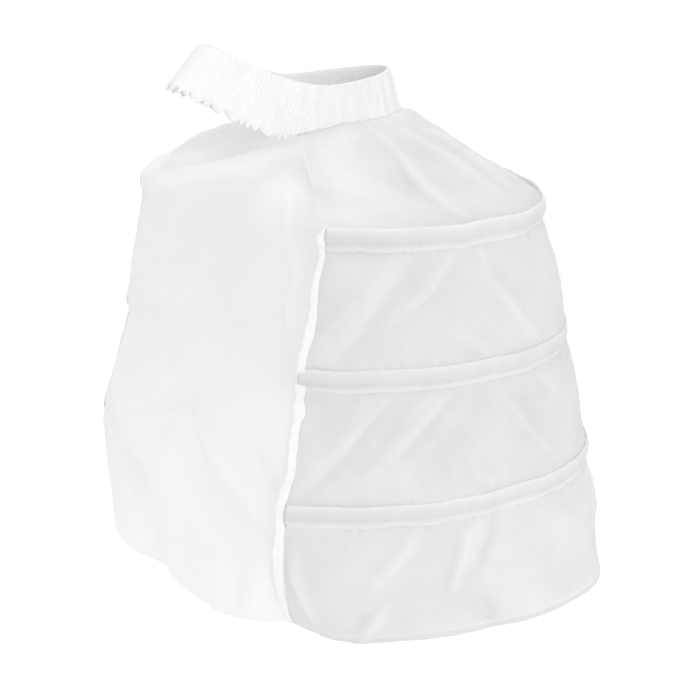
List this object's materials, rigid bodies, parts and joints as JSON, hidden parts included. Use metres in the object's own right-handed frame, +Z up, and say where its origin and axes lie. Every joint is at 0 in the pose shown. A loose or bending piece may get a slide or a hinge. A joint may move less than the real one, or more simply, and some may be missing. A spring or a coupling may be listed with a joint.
{
  "type": "hooped bustle cage",
  "caption": "Half-crinoline bustle cage: sheer tiers swelling over level C-shaped hoops in sewn casings, closed by a flat inner panel and hung from a gathered elastic waistband",
  "frame": {"origin": "The middle of the waist opening, halfway up the waistband where it runs along the sides", "axes": "+X to the wearer's left, +Y behind the wearer, +Z up"},
  "size_m": [0.7416, 0.5468, 0.6521],
  "materials": {
    "sheer_cloth": "thin plain-woven nylon, soft sheen",
    "casing_cloth": "doubled plain-woven nylon, soft sheen",
    "gathered_cloth": "gathered plain-woven nylon, matt",
    "binding_tape": "folded woven tape, matt",
    "woven_elastic": "ribbed woven elastic, matt",
    "label_tape": "plain satin tape",
    "coated_bone": "plastic-coated spring strip",
    "tip_plastic": "moulded cap, satin"
  },
  "bodies": {
    "root": {"blank_label": "label_tape", "edge_binding_left": "binding_tape", "edge_binding_right": "binding_tape", "hem_tier_panel": "sheer_cloth", "hoop_bottom": "coated_bone", "hoop_casing_bottom": "casing_cloth", "hoop_casing_middle": "casing_cloth", "hoop_casing_top": "casing_cloth", "hoop_middle": "coated_bone", "hoop_tip_bottom_left": "tip_plastic", "hoop_tip_bottom_right": "tip_plastic", "hoop_tip_middle_left": "tip_plastic", "hoop_tip_middle_right": "tip_plastic", "hoop_tip_top_left": "tip_plastic", "hoop_tip_top_right": "tip_plastic", "hoop_top": "coated_bone", "inner_panel": "sheer_cloth", "middle_tier_panel": "sheer_cloth", "upper_tier_panel": "sheer_cloth", "waistband_casing": "gathered_cloth", "waistband_elastic": "woven_elastic", "yoke_panel": "sheer_cloth"}
  },
  "joints": []
}
